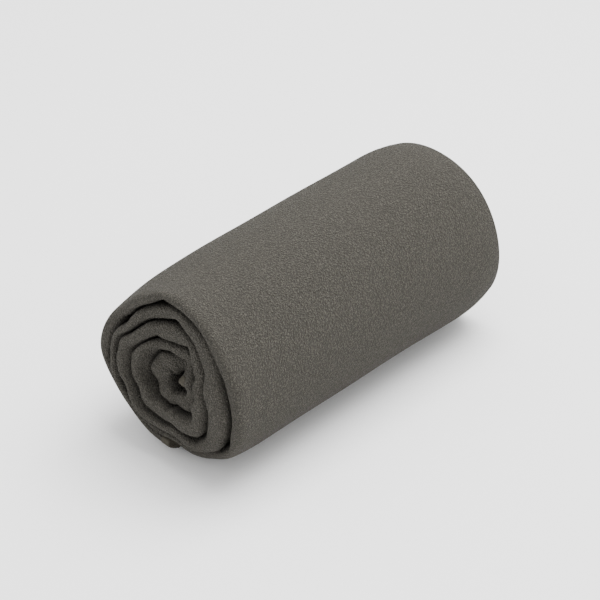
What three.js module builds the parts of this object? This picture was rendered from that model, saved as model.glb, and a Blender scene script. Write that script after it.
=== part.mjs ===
// Quick-dry microfibre travel towel: folded in half three times, then rolled up.
// Millimetres. +X runs along the roll, +Z is up, and the roll lies on z = 0.
// The folded edge of the strip is the end at -X, and its open edges are the end at +X.
import * as THREE from 'three';

// The towel lying flat
const CLOTH_LENGTH = 1500;
const CLOTH_WIDTH = 750;
const HALVINGS = 3;
const LAYER_THICKNESS = 1.03;
const HEM_WIDTH = 4;
const HEM_THICKNESS = 0.8;

// The folded strip: its layers, and the free end where they stop one after another
const LAYERS = 2 ** HALVINGS;
const ROLL_LENGTH = CLOTH_LENGTH / LAYERS;
const STRIP_LENGTH = CLOTH_WIDTH;
const STRIP_THICKNESS = LAYERS * LAYER_THICKNESS;
const TIP_THICKNESS = 3;
const TIP_TAPER_LENGTH = 70;

// The roll: a spiral around the X axis, counter-clockwise outwards seen from -X
const CORE_RADIUS = 4.4;
const TURN_PITCH = STRIP_THICKNESS + 0.4;
const TIP_ANGLE = THREE.MathUtils.degToRad(262);
const AXIS_HEIGHT = 41.9;

// Under its own weight the roll sags onto the floor beside the tucked-in free end
const SAG = 0.08;
const SAG_ANGLE = THREE.MathUtils.degToRad(283);
const SAG_SPREAD_TO_TIP = THREE.MathUtils.degToRad(22);
const SAG_SPREAD_UPWARDS = THREE.MathUtils.degToRad(75);

// Blank care label, sewn into the hem and turned down over the open end
const LABEL_WIDTH = 14;
const LABEL_LENGTH = 22;
const LABEL_THICKNESS = 0.8;
const LABEL_CORNER = 1;
const LABEL_ANGLE = THREE.MathUtils.degToRad(214);
const LABEL_RADIUS = 32;

const CLEARANCE = 0.3;
const CORNER_CLEARANCE = 0.8;
const ARC_STEP = THREE.MathUtils.degToRad(6);

// Places along X
const CLOSED_END = -ROLL_LENGTH / 2;
const LABEL_FACE = ROLL_LENGTH / 2;
const HEM_FACE = LABEL_FACE - LABEL_THICKNESS - CLEARANCE;
const CLOTH_FACE = HEM_FACE - HEM_WIDTH - CLEARANCE;

// How far the strip has turned around the axis at a distance along it from its inner end
function turnAt(distance) {
  const growth = TURN_PITCH / (2 * Math.PI);
  return (Math.sqrt(CORE_RADIUS ** 2 + 2 * growth * distance) - CORE_RADIUS) / growth;
}

const FULL_TURN = turnAt(STRIP_LENGTH);
const TAPER_START = turnAt(STRIP_LENGTH - TIP_TAPER_LENGTH);

function sagAt(angle) {
  const past = THREE.MathUtils.euclideanModulo(angle - SAG_ANGLE + Math.PI, 2 * Math.PI) - Math.PI;
  const away = past < 0 ? -past / SAG_SPREAD_TO_TIP : past / SAG_SPREAD_UPWARDS;
  return away < 1 ? SAG * Math.cos(away * Math.PI / 2) ** 2 : 0;
}

// A point of the cross-section, at a height above the strip's inner face
function rollPoint(turn, height, floor) {
  const angle = TIP_ANGLE - FULL_TURN + turn;
  const innerFace = CORE_RADIUS + TURN_PITCH * turn / (2 * Math.PI) - STRIP_THICKNESS / 2;
  const radius = (innerFace + height) * (1 + sagAt(angle));
  return new THREE.Vector2(radius * Math.cos(angle), Math.max(radius * Math.sin(angle), floor));
}

function stripThicknessAt(turn) {
  const taper = THREE.MathUtils.clamp((turn - TAPER_START) / (FULL_TURN - TAPER_START), 0, 1);
  return THREE.MathUtils.lerp(STRIP_THICKNESS, TIP_THICKNESS, taper);
}

// The closed outline of a stretch of the strip between two heights above its inner face
function stripOutline(startDistance, endDistance, low, high, floor) {
  const start = turnAt(startDistance);
  const end = turnAt(endDistance);
  const steps = Math.max(2, Math.ceil((end - start) / ARC_STEP));
  const inner = [];
  const outer = [];
  for (let step = 0; step <= steps; step += 1) {
    const turn = THREE.MathUtils.lerp(start, end, step / steps);
    inner.push(rollPoint(turn, low, floor));
    outer.push(rollPoint(turn, Math.min(high, stripThicknessAt(turn)), floor));
  }
  return new THREE.Shape([...inner, ...outer.reverse()]);
}

// Extrudes an outline drawn in the end view (right is -Y, up is +Z) between two places along X
function alongRoll(outline, nearX, farX) {
  const geometry = new THREE.ExtrudeGeometry(outline, { depth: farX - nearX, bevelEnabled: false });
  const frame = new THREE.Matrix4().makeBasis(
    new THREE.Vector3(0, -1, 0),
    new THREE.Vector3(0, 0, 1),
    new THREE.Vector3(-1, 0, 0),
  );
  frame.setPosition(farX, 0, AXIS_HEIGHT);
  return geometry.applyMatrix4(frame);
}

function named(name, geometry, color, roughness) {
  const mesh = new THREE.Mesh(geometry, new THREE.MeshStandardMaterial({ color, roughness, metalness: 0 }));
  mesh.name = name;
  return mesh;
}

const CLOTH_COLOR = 0x57534d;
const THREAD_COLOR = 0x4a4742;
const LABEL_COLOR = 0xb9b6b0;

// The cloth: all its layers as one band between the hems at its two ends
function towelCloth() {
  const hem = HEM_WIDTH + CORNER_CLEARANCE;
  const outline = stripOutline(hem, STRIP_LENGTH - hem, 0, STRIP_THICKNESS, -AXIS_HEIGHT);
  return named('towel_cloth', alongRoll(outline, CLOSED_END, CLOTH_FACE), CLOTH_COLOR, 0.95);
}

// Overlocked short edges: both follow the spiral at the open end, on the strip's inner layers
function shortHem(name, layer) {
  const hem = HEM_WIDTH + CORNER_CLEARANCE;
  const low = layer * LAYER_THICKNESS + CLEARANCE / 2;
  const floor = CLEARANCE - AXIS_HEIGHT;
  const outline = stripOutline(hem, STRIP_LENGTH - hem, low, low + HEM_THICKNESS, floor);
  return named(name, alongRoll(outline, HEM_FACE - HEM_WIDTH, HEM_FACE), THREAD_COLOR, 0.85);
}

// Overlocked long edges: one lies at the core and one at the tucked-in free end
function longHem(name, startDistance) {
  const floor = CLEARANCE - AXIS_HEIGHT;
  const outline = stripOutline(startDistance, startDistance + HEM_WIDTH, 0, STRIP_THICKNESS, floor);
  return named(name, alongRoll(outline, CLOSED_END, HEM_FACE), THREAD_COLOR, 0.85);
}

function careLabel() {
  const half = LABEL_WIDTH / 2;
  const reach = LABEL_LENGTH / 2;
  const outline = new THREE.Shape();
  outline.moveTo(-reach + LABEL_CORNER, -half);
  outline.lineTo(reach, -half);
  outline.lineTo(reach, half);
  outline.lineTo(-reach + LABEL_CORNER, half);
  outline.absarc(-reach + LABEL_CORNER, half - LABEL_CORNER, LABEL_CORNER, Math.PI / 2, Math.PI, false);
  outline.absarc(-reach + LABEL_CORNER, LABEL_CORNER - half, LABEL_CORNER, Math.PI, 1.5 * Math.PI, false);
  const points = outline.extractPoints(4).shape;
  const turned = points.map((point) => point
    .add(new THREE.Vector2(LABEL_RADIUS, 0))
    .rotateAround(new THREE.Vector2(), LABEL_ANGLE));
  const geometry = alongRoll(new THREE.Shape(turned), LABEL_FACE - LABEL_THICKNESS, LABEL_FACE);
  return named('care_label', geometry, LABEL_COLOR, 0.5);
}

const towel = new THREE.Group();
towel.name = 'quick_dry_towel';
towel.add(
  towelCloth(),
  shortHem('short_hem_first', 0),
  shortHem('short_hem_second', 1),
  longHem('long_hem_core', 0),
  longHem('long_hem_free', STRIP_LENGTH - HEM_WIDTH),
  careLabel(),
);

// The origin is under the middle of the roll
const box = new THREE.Box3().setFromObject(towel);
towel.position.y = -(box.min.y + box.max.y) / 2;

export default towel;
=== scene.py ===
"""Quick-dry travel towel: one thin sheet folded to a strip of eight layers and rolled up.

Metres. +X runs along the roll: the folded end is at -X, the open end with the hems is at +X.
"Turn" is the angle around the roll's axis in degrees, counted on from the core to the free end,
counter-clockwise seen from the folded end, with 0 towards -Y and 90 straight up.
"""
import math

import bpy
import numpy as np
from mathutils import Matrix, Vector


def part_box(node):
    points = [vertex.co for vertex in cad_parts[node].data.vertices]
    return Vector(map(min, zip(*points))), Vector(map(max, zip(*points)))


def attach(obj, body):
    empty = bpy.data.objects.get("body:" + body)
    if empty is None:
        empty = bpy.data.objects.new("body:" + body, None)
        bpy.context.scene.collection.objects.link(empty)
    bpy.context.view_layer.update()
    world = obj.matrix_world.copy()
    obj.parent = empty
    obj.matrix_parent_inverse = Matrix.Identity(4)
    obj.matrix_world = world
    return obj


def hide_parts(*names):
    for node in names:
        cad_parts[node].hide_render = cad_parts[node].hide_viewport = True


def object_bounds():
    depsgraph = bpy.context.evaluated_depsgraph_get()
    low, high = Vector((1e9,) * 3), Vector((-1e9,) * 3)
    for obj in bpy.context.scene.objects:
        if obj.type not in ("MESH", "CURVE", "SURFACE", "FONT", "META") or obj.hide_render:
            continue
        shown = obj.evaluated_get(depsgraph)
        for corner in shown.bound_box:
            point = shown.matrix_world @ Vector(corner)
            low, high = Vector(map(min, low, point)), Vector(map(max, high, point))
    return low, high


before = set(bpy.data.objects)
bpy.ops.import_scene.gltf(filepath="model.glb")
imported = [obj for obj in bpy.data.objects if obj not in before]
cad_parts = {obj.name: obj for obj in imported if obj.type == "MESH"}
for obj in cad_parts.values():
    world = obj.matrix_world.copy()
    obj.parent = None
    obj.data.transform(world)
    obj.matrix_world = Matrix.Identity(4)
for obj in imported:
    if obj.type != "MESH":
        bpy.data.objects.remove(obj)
cad_low, cad_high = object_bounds()

MM = 0.001

# The towel lying flat, and the strip that it is folded to. LAYER_ORDER gives the places in the
# strip of the eight layers, counted from one short edge of the sheet to the other.
FLAT_WIDTH = 0.75
FLAT_LENGTH = 1.5
LAYER_ORDER = [0, 7, 4, 3, 2, 5, 6, 1]
LAYERS = len(LAYER_ORDER)
CLOTH_THICKNESS = 0.7 * MM
LAYER_GAP = 1.03 * MM

# The roll's middle: an even spiral from the core to the tucked-in free end
CORE_RADIUS = 4.4 * MM
TURN_PITCH = 8.64 * MM
TIP_TURN = 4 * 360 + 262
GROWTH = TURN_PITCH / (2 * math.pi)
FULL_TURN = math.degrees(
    (math.sqrt(CORE_RADIUS**2 + 2 * GROWTH * FLAT_WIDTH) - CORE_RADIUS) / GROWTH
)
CORE_TURN = TIP_TURN - FULL_TURN
LEAST_RADIUS = 0.3 * MM

# The two ends of the roll and its axis, which is not quite in the middle of the frame's box
FOLDED_X = cad_low.x
OPEN_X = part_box("long_hem_free")[1].x
AXIS_SHIFT_Y = -2.4 * MM
AXIS_Y = 0.5 * (cad_low.y + cad_high.y) + AXIS_SHIFT_Y
AXIS_Z = 41.9 * MM

# The boundary between one turn and the next at the folded end: its radius in millimetres every
# FOLDED_STEP degrees, one row a turn, from inside the core to the free end
FOLDED_STEP = 45
FOLDED_RADII = [
    [0.5, 0.5, 0.5, 0.5, 1.0, 2.5, 4.0, 5.0],
    [5.5, 7.0, 13.0, 17.5, 22.0, 17.5, 12.5, 16.5],
    [13.0, 13.0, 20.0, 22.5, 27.5, 26.0, 21.0, 29.0],
    [20.5, 21.0, 32.0, 30.5, 33.5, 31.5, 29.0, 38.0],
    [35.5, 36.5, 41.5, 35.0, 38.5, 34.5, 32.5, 41.0],
    [44.5, 44.0, 46.0, 40.5, 46.5, 37.0, 37.5, 37.5],
]
FOLDED_SOFTNESS = 5

# Kinks in that boundary, where the folds have caught on each other and a pocket stands open:
# (turn, lift in millimetres, width in degrees, what is added to half the gap in millimetres)
FOLDED_KINKS = [
    (30, 0, 8, 1.0), (70, 0, 8, 0.8), (205, 0, 8, 1.0), (325, 1.5, 12, 0.8), (390, -1.0, 8, 1.2),
    (428, 4.0, 7, 1.5), (475, 2.0, 12, 1.0), (520, 0, 8, 0.7), (570, 0, 8, 1.2),
    (660, 1.5, 10, 1.3), (740, -1.5, 14, 0.6), (805, 2.0, 6, 1.6), (890, 0, 8, 0.9),
    (925, 0, 8, 1.2), (1000, -1.0, 8, 0.9), (1052, 3.0, 14, 1.6), (1105, -0.5, 10, 0.5),
    (1178, 2.8, 9, 1.7), (1225, 0, 8, 1.5), (1265, 0, 8, 0.9), (1350, -1.0, 12, 1.2),
    (1418, 2.0, 14, 0), (1536, 1.0, 10, 0),
]
HALF_GAP = 0.6
POCKET_SPREAD = 6

# How far the folded edge stands back from the end of the roll: (turn, millimetres)
FOLDED_RECESS = [
    (0, 7), (260, 5), (420, 3), (560, 1.5), (700, 1), (900, 0.5), (1100, 0.5), (1330, 1),
    (1360, 8), (1400, 5), (1450, 0), (1560, 0), (1620, 3), (1702, 7),
]
RECESS_SOFTNESS = 10

# The folded end blends into the middle over FOLDED_REACH. Its fold is deeper than a half circle
# and blunt, its top leans back, and it is slimmer on the far side and moved a little.
FOLDED_REACH = 32 * MM
FOLDED_EASING = 2.2
FOLDED_DEPTH = 1.5
FOLD_SQUARENESS = 0.62
FOLDED_LEAN = 4.5 * MM
FOLDED_LEAN_ANGLE = 80
FOLDED_LEAN_SPREAD = 60
FOLDED_SLIM = 0.045
FOLDED_SLIM_ANGLE = 130
FOLDED_SLIM_SPREAD = 40
FOLDED_SLIM_REACH = 75 * MM
FOLDED_SHIFT_Y = -1.0 * MM
FOLDED_SHIFT_Z = 3.3 * MM

# The roll is nearly 1 % thicker at the open end, where its edges are rounded over and its section
# is not quite round
FOLDED_SCALE = 0.99
OPEN_SCALE = 1.0
SCALE_START = 40 * MM
OPEN_REACH = 22 * MM
OPEN_ROUND = 3.5 * MM
OPEN_ROUND_RADIUS = 48 * MM
OPEN_BULGE = 0.04
OPEN_BULGE_ANGLE = 335
OPEN_BULGE_SPREAD = 45
OPEN_FLAT = 0.04
OPEN_FLAT_ANGLE = 25
OPEN_FLAT_SPREAD = 35
OPEN_MARGIN = 1 * MM

# The free end is a thinner wedge, and the turns under it are dented by it and sag beside it
TIP_THINNING = 3.2 * MM
TIP_TAPER = 80
DENT = 0.1
DENT_ANGLE = 256
DENT_SPREAD = 16
DENT_LAST_TURN = 1500
SAG = 0.03
SAG_ANGLE = 285
SAG_SPREAD = 17

# Where the roll would go under the floor, its layers lie on it, packed over this height
FLOOR_PACKING = 3 * MM

# Small uneven places in the cloth. Waves are given as (seed, step in turn, step across): the
# degrees, and the metres along the roll or the layers of the strip, that a typical wave takes to
# move on by about a radian. STEP_PHASE is that angle over its step in turn.
WAVE_COUNT = 7
STEP_PHASE = math.radians(57.3)
RIPPLE_HEIGHT = 0.35 * MM
RIPPLE_WAVES = (3, 40, 0.030)
CRUMPLE_CORE = 1.1
CRUMPLE_DROP = 0.6
CRUMPLE_WAVES = (8, 9, 0.020)
CREASE_HEIGHT = 1.0 * MM
CREASE_SHARPNESS = 1.6
CREASE_LAST_TURN = 1500
CREASE_WAVES = (12, 12, 0.012)
RECESS_HEIGHT = 1.1 * MM
RECESS_WAVES = (5, 18, 1)
OPEN_EDGE_HEIGHT = 1.2 * MM
OPEN_EDGE_WAVES = (6, 22, 2.5)

# The fineness of the cloth's mesh. Bends are keyed by their radius in layers.
STEPS_ALONG_STRIP = 326
CORE_FINENESS = 1.35
HIDDEN_STOPS = [0, 0.02, 0.05, 0.09, 0.14, 0.2, 0.35, 0.65, 0.88, 1]
SHOWN_STOPS = list(np.linspace(0, 1, 36))
FOLDED_BEND_STEPS = {3.5: 12, 2.5: 6, 1.5: 4, 0.5: 4}
OPEN_BEND_STEPS = {1.5: 7, 0.5: 4}
FOLDED_BEND_DEPTH = max(FOLDED_BEND_STEPS) * LAYER_GAP * FOLDED_DEPTH
OPEN_BEND_DEPTH = max(OPEN_BEND_STEPS) * LAYER_GAP


def smooth(t):
    """0 below 0 and 1 above 1, with an easy curve between."""
    t = np.clip(t, 0, 1)
    return t * t * (3 - 2 * t)


def softened(knots, softness):
    """A fine table through the knots, its corners eased over that many degrees."""
    step = 0.5
    turns = np.arange(knots[0][0], knots[-1][0] + step, step)
    values = np.interp(turns, *zip(*knots))
    reach = int(6 * softness)
    window = np.exp(-0.5 * (np.arange(-reach, reach + 1) * step / softness) ** 2)
    padded = np.pad(values, reach, mode="edge")
    return turns, np.convolve(padded, window / window.sum(), mode="valid")


def folded_tables():
    """The radius and the half gaps of the folded end over the turns, in metres."""
    knots = [
        (360 * (row - 1) + FOLDED_STEP * step, radius)
        for row, radii in enumerate(FOLDED_RADII)
        for step, radius in enumerate(radii)
    ]
    turns, radius = softened(knots, FOLDED_SOFTNESS)
    gap = np.full(len(turns), HALF_GAP)
    for turn, lift, width, pocket in FOLDED_KINKS:
        radius = radius + lift * np.exp(-(((turns - turn) / width) ** 2))
        gap = gap + pocket * np.exp(-(((turns - turn) / POCKET_SPREAD) ** 2))
    return (turns, radius * MM), (turns, gap * MM)


RADIUS_TABLE, GAP_TABLE = folded_tables()
RECESS_TABLE = softened(FOLDED_RECESS, RECESS_SOFTNESS)


def waves(turn, across, seed, turn_step, across_step):
    """A smooth random height, mostly between -1 and 1, from a few crossing waves."""
    draw = np.random.default_rng(seed)
    total = 0
    for _ in range(WAVE_COUNT):
        turn_rate = draw.normal() / turn_step
        across_rate = draw.normal() / across_step
        phase = draw.uniform(0, 2 * math.pi)
        total = total + np.sin(turn * STEP_PHASE * turn_rate + across * across_rate + phase)
    return total / math.sqrt(WAVE_COUNT)


def from_folded_end(x):
    """0 at the folded end, rising fast and levelling off at 1 in the roll's middle."""
    return 1 - np.clip(1 - (x - FOLDED_X) / FOLDED_REACH, 0, 1) ** FOLDED_EASING


def around(turn, centre, spread):
    """1 at an angle of the section, falling to 0 away from it."""
    away = (turn - centre + 180) % 360 - 180
    return np.exp(-((away / spread) ** 2))


def body_boundary(turn):
    """The outer face of the strip in the roll's middle."""
    radius = CORE_RADIUS + TURN_PITCH * ((turn - CORE_TURN) / 360 + 0.5)
    outer = smooth(turn / TIP_TURN)
    dent = DENT * outer * around(turn, DENT_ANGLE, DENT_SPREAD) * (turn < DENT_LAST_TURN)
    sag = SAG * outer * around(turn, SAG_ANGLE, SAG_SPREAD)
    thinning = TIP_THINNING * smooth((turn - TIP_TURN + TIP_TAPER) / TIP_TAPER)
    return radius * (1 - dent) * (1 + sag) - thinning


def boundary(turn, x):
    """The outer face of the strip at a turn, anywhere along the roll."""
    near = np.interp(turn, *RADIUS_TABLE)
    into = from_folded_end(x)
    radius = near + (body_boundary(turn) - near) * into
    ripple = RIPPLE_HEIGHT * waves(turn, x, *RIPPLE_WAVES)
    crumple = (CRUMPLE_CORE - CRUMPLE_DROP * turn / TIP_TURN) * MM * waves(turn, x, *CRUMPLE_WAVES)
    crease = CREASE_HEIGHT * (1 - smooth(turn / CREASE_LAST_TURN))
    crease = crease * (1 - CREASE_SHARPNESS * np.abs(waves(turn, x, *CREASE_WAVES)))
    return radius + ripple + (crumple + crease) * (1 - into)


def thickness_scale(x):
    """How thick the roll is along its length, compared with the even spiral."""
    into = smooth((x - FOLDED_X - SCALE_START) / (OPEN_X - FOLDED_X))
    return FOLDED_SCALE + (OPEN_SCALE - FOLDED_SCALE) * into


def roll_point(turn, x, height):
    """A point of the roll: height runs from 0 on the strip's inner face to 1 on its outer face."""
    end = 1 - from_folded_end(x)
    inner = boundary(turn - 360, x) + np.interp(turn - 360, *GAP_TABLE) * end
    outer = boundary(turn, x) - np.interp(turn, *GAP_TABLE) * end
    radius = np.maximum(inner + (outer - inner) * height, LEAST_RADIUS)

    from_open = np.clip((x - OPEN_X + OPEN_REACH) / OPEN_REACH, 0, 1)
    radius = radius - OPEN_ROUND * from_open**2 * radius / OPEN_ROUND_RADIUS
    radius = radius * thickness_scale(x)
    slim = 1 - smooth((x - FOLDED_X) / FOLDED_SLIM_REACH)
    radius = radius * (1 - FOLDED_SLIM * slim * around(turn, FOLDED_SLIM_ANGLE, FOLDED_SLIM_SPREAD))
    bulge = OPEN_BULGE * around(turn, OPEN_BULGE_ANGLE, OPEN_BULGE_SPREAD)
    flat = OPEN_FLAT * around(turn, OPEN_FLAT_ANGLE, OPEN_FLAT_SPREAD)
    radius = radius * (1 + smooth(x / OPEN_X) * (bulge - flat))

    angle = np.radians(turn)
    y = AXIS_Y + FOLDED_SHIFT_Y * end - radius * np.cos(angle)
    z = AXIS_Z * thickness_scale(x) + FOLDED_SHIFT_Z * end + radius * np.sin(angle)
    z = np.maximum(z, CLOTH_THICKNESS / 2 + (1 - height) * FLOOR_PACKING)
    return np.stack(np.broadcast_arrays(x, y, z), -1)


def bend_columns(layer, after, towards_folded):
    """The columns round the bend from one layer of the strip to the next."""
    middle = (LAYERS - 1) / 2
    centre = (layer + after) / 2 - middle
    radius = abs(after - layer) / 2
    count = (FOLDED_BEND_STEPS if towards_folded else OPEN_BEND_STEPS)[radius]
    columns = []
    for step in range(1, count + 1):
        angle = math.pi * step / (count + 1)
        cos = math.cos(angle)
        sin = math.sin(angle)
        if towards_folded:
            cos = math.copysign(abs(cos) ** FOLD_SQUARENESS, cos)
            sin = sin**FOLD_SQUARENESS
        height = centre + (layer - middle - centre) * cos
        shift = radius * sin * LAYER_GAP
        if towards_folded:
            columns.append((height, 0.0, -shift * FOLDED_DEPTH))
        else:
            columns.append((height, 1.0, shift))
    return columns


def strip_columns():
    """The cloth across the strip, from its first short hem to its second.

    Each column is (height in layers from the strip's middle, place between the ends, shift in x).
    """
    columns = []
    for place, layer in enumerate(LAYER_ORDER):
        towards_folded = place % 2 == 0
        stops = SHOWN_STOPS if layer == LAYERS - 1 else HIDDEN_STOPS
        if towards_folded:
            stops = stops[::-1]
        columns += [(layer - (LAYERS - 1) / 2, stop, 0.0) for stop in stops]
        if place < LAYERS - 1:
            columns += bend_columns(layer, LAYER_ORDER[place + 1], towards_folded)
    return np.array(columns)


COLUMNS = strip_columns()
COLUMN_NUMBERS = np.arange(len(COLUMNS))


def turn_at(distance):
    """The turn reached at a distance along the strip from its inner end."""
    angle = (np.sqrt(CORE_RADIUS**2 + 2 * GROWTH * distance) - CORE_RADIUS) / GROWTH
    return CORE_TURN + np.degrees(angle)


def cloth_points(distance, column):
    """Points of the middle of the cloth, at distances along the strip and places in COLUMNS."""
    turn = turn_at(distance)
    layer, place, shift = (np.interp(column, COLUMN_NUMBERS, values) for values in COLUMNS.T)
    recess = np.interp(turn, *RECESS_TABLE) * MM
    recess = recess + FOLDED_LEAN * around(turn, FOLDED_LEAN_ANGLE, FOLDED_LEAN_SPREAD)
    recess = recess + RECESS_HEIGHT * waves(turn, 0, *RECESS_WAVES)
    uneven = OPEN_EDGE_HEIGHT * waves(turn, layer, *OPEN_EDGE_WAVES)
    start = FOLDED_X + recess + FOLDED_BEND_DEPTH
    stop = OPEN_X - OPEN_BEND_DEPTH - OPEN_MARGIN + uneven
    x = start + (stop - start) * place + shift
    return roll_point(turn, x, 0.5 + layer / LAYERS)


def unit(vectors):
    return vectors / np.maximum(np.linalg.norm(vectors, axis=-1, keepdims=True), 1e-12)


def new_object(name, vertices, faces, material):
    mesh = bpy.data.meshes.new(name)
    mesh.from_pydata(np.asarray(vertices).tolist(), [], [list(face) for face in faces])
    mesh.polygons.foreach_set("use_smooth", [True] * len(mesh.polygons))
    mesh.update()
    mesh.materials.append(material)
    piece = bpy.data.objects.new(name, mesh)
    bpy.context.scene.collection.objects.link(piece)
    return piece


def new_piece(name, vertices, faces, material, node, slot):
    """A piece of the towel, which stands for a node and hides its part. The slot is not used."""
    piece = new_object(name, vertices, faces, material)
    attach(piece, "root")
    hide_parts(node)
    return piece


def grid_faces(rows, columns):
    corner = (np.arange(rows - 1)[:, None] * columns + np.arange(columns - 1)[None]).ravel()
    return np.stack([corner, corner + 1, corner + columns + 1, corner + columns], -1)


def thick_sheet(points, thickness):
    """Vertices and faces of a closed sheet around a grid of middle points."""
    rows, columns = points.shape[:2]
    normals = unit(np.cross(np.gradient(points, axis=0), np.gradient(points, axis=1)))
    offset = normals * thickness / 2
    vertices = np.concatenate([(points + offset).reshape(-1, 3), (points - offset).reshape(-1, 3)])
    count = rows * columns
    top = grid_faces(rows, columns)
    ring = np.concatenate([
        np.arange(columns),
        np.arange(1, rows) * columns + columns - 1,
        (rows - 1) * columns + np.arange(columns - 2, -1, -1),
        np.arange(rows - 2, 0, -1) * columns,
    ])
    after = np.roll(ring, -1)
    edge = np.stack([after, ring, ring + count, after + count], -1)
    return vertices, np.concatenate([top, top[:, ::-1] + count, edge])


def closed_tube(points):
    """Vertices and faces of a tube along rings of points, closed at both ends."""
    rows, columns = points.shape[:2]
    first = np.arange(rows - 1)[:, None] * columns
    here = np.arange(columns)[None]
    after = (here + 1) % columns
    corners = [first + here, first + after, first + columns + after, first + columns + here]
    faces = np.stack(corners, -1).reshape(-1, 4).tolist()
    faces.append(list(range(columns))[::-1])
    faces.append(list(range((rows - 1) * columns, rows * columns)))
    return points.reshape(-1, 3), faces


def new_material(name, colour, roughness, specular):
    """A material with the shader's plain values, and coordinates for its patterns."""
    material = bpy.data.materials.new(name)
    material.use_nodes = True
    nodes = material.node_tree.nodes
    links = material.node_tree.links
    shader = nodes["Principled BSDF"]
    shader.inputs["Base Color"].default_value = (*colour, 1)
    shader.inputs["Roughness"].default_value = roughness
    shader.inputs["Specular IOR Level"].default_value = specular
    coordinates = nodes.new("ShaderNodeTexCoord").outputs["Object"]
    return material, nodes, links, shader, coordinates


def add_noise(nodes, links, coordinates, scale, detail):
    noise = nodes.new("ShaderNodeTexNoise")
    noise.inputs["Scale"].default_value = scale
    noise.inputs["Detail"].default_value = detail
    links.new(coordinates, noise.inputs["Vector"])
    return noise


def add_tint(nodes, links, shader, factor, dark, light, low=0.3, high=0.7):
    """The base colour runs from dark to light with a factor."""
    ramp = nodes.new("ShaderNodeValToRGB")
    ramp.color_ramp.elements[0].position = low
    ramp.color_ramp.elements[0].color = (*dark, 1)
    ramp.color_ramp.elements[1].position = high
    ramp.color_ramp.elements[1].color = (*light, 1)
    links.new(factor, ramp.inputs["Fac"])
    links.new(ramp.outputs["Color"], shader.inputs["Base Color"])


def add_bump(nodes, links, shader, height, strength, distance):
    bump = nodes.new("ShaderNodeBump")
    bump.inputs["Strength"].default_value = strength
    bump.inputs["Distance"].default_value = distance
    links.new(height, bump.inputs["Height"])
    links.new(bump.outputs["Normal"], shader.inputs["Normal"])


def make_cloth_material():
    """Crepe microfibre: fine rounded pebbles under a millimetre across, and finer fibres, with
    painted shade in the hollows between the pebbles.
    """
    material, nodes, links, shader, coordinates = new_material(
        "cloth", (0.105, 0.095, 0.085), roughness=0.92, specular=0.1
    )
    shader.inputs["Sheen Weight"].default_value = 0.08
    shader.inputs["Sheen Tint"].default_value = (1, 0.93, 0.84, 1)
    shader.inputs["Sheen Roughness"].default_value = 0.6
    drift = add_noise(nodes, links, coordinates, scale=420, detail=2)
    bent = nodes.new("ShaderNodeMix")
    bent.data_type = "VECTOR"
    bent.inputs["Factor"].default_value = 0.0022
    links.new(coordinates, bent.inputs["A"])
    links.new(drift.outputs["Color"], bent.inputs["B"])
    pebble = nodes.new("ShaderNodeTexVoronoi")
    pebble.feature = "SMOOTH_F1"
    pebble.inputs["Scale"].default_value = 1320
    pebble.inputs["Smoothness"].default_value = 0.4
    links.new(bent.outputs[1], pebble.inputs["Vector"])
    fibre = add_noise(nodes, links, coordinates, scale=2600, detail=2)
    relief = nodes.new("ShaderNodeMath")
    relief.operation = "MULTIPLY_ADD"
    relief.inputs[1].default_value = -1.0
    links.new(pebble.outputs["Distance"], relief.inputs[0])
    links.new(fibre.outputs["Fac"], relief.inputs[2])
    height = relief.outputs["Value"]
    # Painted shade: the base colour follows the relief, darker in the hollows between the pebbles
    # and lighter on their tops, on top of the bump's own shading; the fibres' noise adds an uneven
    # tone
    dark = (0.0375, 0.0353, 0.0290)
    light = (0.1160, 0.1092, 0.0895)
    add_tint(nodes, links, shader, height, dark, light, low=-0.06, high=0.46)
    add_bump(nodes, links, shader, height, strength=1.0, distance=2.2 * MM)
    return material


def make_thread_material():
    """Overlock thread: fine twisted fibres, a little shinier than the cloth."""
    material, nodes, links, shader, coordinates = new_material(
        "hem_thread", (0.085, 0.078, 0.070), roughness=0.7, specular=0.2
    )
    twist = add_noise(nodes, links, coordinates, scale=2500, detail=3).outputs["Fac"]
    add_tint(nodes, links, shader, twist, (0.030, 0.0265, 0.020), (0.062, 0.055, 0.041))
    add_bump(nodes, links, shader, twist, strength=0.6, distance=0.15 * MM)
    return material


def make_label_material():
    """Woven satin: fine ribs along one direction with a soft gloss."""
    material, nodes, links, shader, coordinates = new_material(
        "label", (0.50, 0.49, 0.46), roughness=0.45, specular=0.2
    )
    rib = nodes.new("ShaderNodeTexWave")
    rib.bands_direction = "Z"
    rib.inputs["Scale"].default_value = 900
    rib.inputs["Distortion"].default_value = 0.6
    links.new(coordinates, rib.inputs["Vector"])
    ribs = rib.outputs["Fac"]
    add_tint(nodes, links, shader, ribs, (0.33, 0.32, 0.295), (0.45, 0.44, 0.41))
    add_bump(nodes, links, shader, ribs, strength=0.5, distance=0.08 * MM)
    return material


cloth_material = make_cloth_material()
thread_material = make_thread_material()
label_material = make_label_material()

# The cloth, its rows closer together at the core
distances = FLAT_WIDTH * np.linspace(0, 1, STEPS_ALONG_STRIP) ** CORE_FINENESS
cloth_grid = cloth_points(distances[:, None], COLUMN_NUMBERS[None])
towel = new_piece(
    "towel", *thick_sheet(cloth_grid, CLOTH_THICKNESS), cloth_material, "towel_cloth", "cloth"
)

# The overlocked edges. The profile goes round the cut edge: (distance in from it, height off it),
# in millimetres. The stitches' ridges are on its outside, and not on its face against the cloth.
HEM_PROFILE = [
    (4.0, 0.40), (3.9, 0.56), (2.5, 0.60), (1.0, 0.62), (0.1, 0.58), (-0.35, 0.30),
    (-0.35, -0.30), (0.1, -0.58), (1.0, -0.62), (2.5, -0.60), (3.9, -0.56), (4.0, -0.40),
    (0.2, -0.36), (0.2, 0.36),
]
HEM_DEPTH = 4 * MM
HEM_INNER_HEIGHT = 0.41
STITCH_PITCH = 1.8 * MM
STITCH_RELIEF = 0.13
STITCH_STEPS = 4
INWARD_COLUMNS = 0.6


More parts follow.
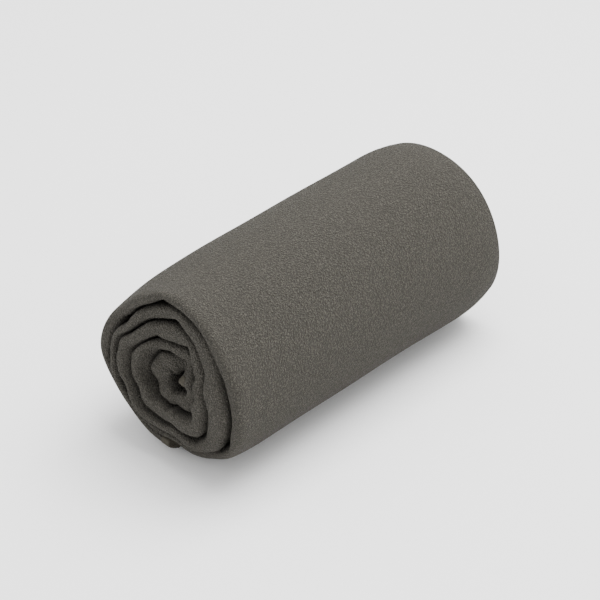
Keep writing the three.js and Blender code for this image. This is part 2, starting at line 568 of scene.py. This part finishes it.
def overlock(name, edge, inward, normal, length, node):
    """Thread wrapped round an edge, from arrays of points and directions along it."""
    along = np.linspace(0, length, len(edge))[:, None]
    ridge = 1 + STITCH_RELIEF * np.cos(2 * math.pi * along / STITCH_PITCH)
    rings = []
    for depth, height in HEM_PROFILE:
        past_edge = depth < 0
        ridged = past_edge or abs(height) > HEM_INNER_HEIGHT
        inset = depth * MM * (ridge if past_edge else 1)
        rise = height * MM * (ridge if ridged else 1)
        rings.append(edge + inward * inset + normal * rise)
    return new_piece(name, *closed_tube(np.stack(rings, 1)), thread_material, node, "hem_thread")


def short_hem(name, column, inner_column, node):
    """The hem on a short edge of the sheet, which runs the whole way along the strip."""
    count = int(FLAT_WIDTH / STITCH_PITCH * STITCH_STEPS)
    distance = np.linspace(0, FLAT_WIDTH, count)
    edge = cloth_points(distance, np.full(count, float(column)))
    inward = unit(cloth_points(distance, np.full(count, inner_column)) - edge)
    normal = unit(np.cross(np.gradient(edge, axis=0), inward))
    return overlock(name, edge, inward, normal, FLAT_WIDTH, node)


def long_hem(name, distance, inner_distance, node):
    """The hem on a long edge of the sheet, which is folded with it across the strip's end."""
    count = int(FLAT_LENGTH / STITCH_PITCH * STITCH_STEPS)
    corners = cloth_points(np.full(len(COLUMNS), distance), COLUMN_NUMBERS)
    steps = np.linalg.norm(np.diff(corners, axis=0), axis=1)
    lengths = np.concatenate([[0], np.cumsum(steps)])
    column = np.interp(np.linspace(0, lengths[-1], count), lengths, COLUMN_NUMBERS)
    edge = cloth_points(np.full(count, distance), column)
    inward = unit(cloth_points(np.full(count, inner_distance), column) - edge)
    normal = unit(np.cross(inward, np.gradient(edge, axis=0)))
    return overlock(name, edge, inward, normal, lengths[-1], node)


last = len(COLUMNS) - 1
hems = [
    short_hem("short_hem_a", 0, INWARD_COLUMNS, "short_hem_first"),
    short_hem("short_hem_b", last, last - INWARD_COLUMNS, "short_hem_second"),
    long_hem("long_hem_inner", 0.0, HEM_DEPTH, "long_hem_core"),
    long_hem("long_hem_outer", FLAT_WIDTH, FLAT_WIDTH - HEM_DEPTH, "long_hem_free"),
]

# The blank label: its root is sewn in under the hem, and it is turned down over the open end.
# (distance out from the hems' face, radius from the roll's axis), in millimetres.
LABEL_PATH = [
    (-6, 41.6), (-2, 42.0), (0.4, 41.9), (1.5, 41.0), (1.9, 38), (1.7, 33), (1.6, 27), (2.4, 21),
]
LABEL_STEPS = 400
LABEL_EASING = 20
LABEL_ANGLE = math.radians(214)
LABEL_WIDTH = 14 * MM
LABEL_THICKNESS = 0.35 * MM
LABEL_ROWS = 60
LABEL_COLUMNS = 24
LABEL_FREE_START = -0.6
LABEL_CURL = 0.9 * MM
LABEL_TILT = 0.06


def label_line():
    """The label's path with its corners eased: distance out and radius, a value for each row."""
    path = np.array(LABEL_PATH) * MM
    steps = np.linalg.norm(np.diff(path, axis=0), axis=1)
    lengths = np.concatenate([[0], np.cumsum(steps)])
    fine = np.linspace(0, lengths[-1], LABEL_STEPS)
    window = np.hanning(2 * LABEL_EASING + 1)
    rows = np.linspace(0, LABEL_STEPS - 1, LABEL_ROWS)
    line = []
    for values in path.T:
        padded = np.pad(np.interp(fine, lengths, values), LABEL_EASING, mode="edge")
        eased = np.convolve(padded, window / window.sum(), mode="valid")
        line.append(np.interp(rows, np.arange(LABEL_STEPS), eased)[:, None])
    return line


def label_points():
    """The middle of the label, curled and tilted more towards its free end."""
    out, radius = label_line()
    side = np.linspace(-0.5, 0.5, LABEL_COLUMNS)[None] * LABEL_WIDTH
    free = smooth(np.linspace(LABEL_FREE_START, 1, LABEL_ROWS))[:, None]
    out = out + free * (LABEL_CURL * (side / LABEL_WIDTH * 2) ** 2 + LABEL_TILT * side)
    cos = math.cos(LABEL_ANGLE)
    sin = math.sin(LABEL_ANGLE)
    x = OPEN_X + out
    y = AXIS_Y - radius * cos + side * sin
    z = AXIS_Z + radius * sin + side * cos
    return np.stack(np.broadcast_arrays(x, y, z), -1)


label = new_piece(
    "label", *thick_sheet(label_points(), LABEL_THICKNESS), label_material, "care_label", "label"
)

# The floor
FLOOR_REACH = 3.0
floor_material = bpy.data.materials.new("floor")
floor_material.use_nodes = True
floor_shader = floor_material.node_tree.nodes["Principled BSDF"]
floor_shader.inputs["Base Color"].default_value = (0.9, 0.9, 0.9, 1)
floor_shader.inputs["Roughness"].default_value = 0.8
floor_corners = [(x, y, 0) for x, y in ((-1, -1), (1, -1), (1, 1), (-1, 1))]
floor = new_object("floor", np.array(floor_corners) * FLOOR_REACH, [(0, 1, 2, 3)], floor_material)

# The light: an even white surround, and one soft lamp from above
SURROUND_STRENGTH = 1.54
LAMP_PLACE = (0.35, -0.14, 1.28)
LAMP_TARGET = (0, 0, 0.04)
LAMP_SIZE = 1.1
LAMP_POWER = 41

world = bpy.context.scene.world or bpy.data.worlds.new("world")
bpy.context.scene.world = world
world.use_nodes = True
world.node_tree.nodes["Background"].inputs["Color"].default_value = (1, 1, 1, 1)
world.node_tree.nodes["Background"].inputs["Strength"].default_value = SURROUND_STRENGTH

lamp_data = bpy.data.lights.new("key", "AREA")
lamp_data.size = LAMP_SIZE
lamp_data.energy = LAMP_POWER
lamp = bpy.data.objects.new("key", lamp_data)
lamp.location = LAMP_PLACE
lamp.rotation_euler = (Vector(LAMP_TARGET) - Vector(LAMP_PLACE)).to_track_quat("-Z", "Y").to_euler()
bpy.context.scene.collection.objects.link(lamp)

# The camera, aimed at the middle of the roll with a small offset to its right and up
AZIMUTH = math.radians(-48)
ELEVATION = math.radians(33)
DISTANCE = 1.105
LENS = 144
SENSOR_WIDTH = 36
AIM_RIGHT = -3 * MM
AIM_UP = 1 * MM

back = Vector((
    math.sin(AZIMUTH) * math.cos(ELEVATION),
    -math.cos(AZIMUTH) * math.cos(ELEVATION),
    math.sin(ELEVATION),
))
rotation = (-back).to_track_quat("-Z", "Y")
right = rotation @ Vector((1, 0, 0))
up = rotation @ Vector((0, 1, 0))
middle_of_roll = Vector(((FOLDED_X + OPEN_X) / 2, AXIS_Y, AXIS_Z))

camera_data = bpy.data.cameras.new("camera")
camera_data.lens = LENS
camera_data.sensor_width = SENSOR_WIDTH
camera = bpy.data.objects.new("camera", camera_data)
camera.location = middle_of_roll + back * DISTANCE + right * AIM_RIGHT + up * AIM_UP
camera.rotation_mode = "QUATERNION"
camera.rotation_quaternion = rotation
bpy.context.scene.collection.objects.link(camera)
bpy.context.scene.camera = camera
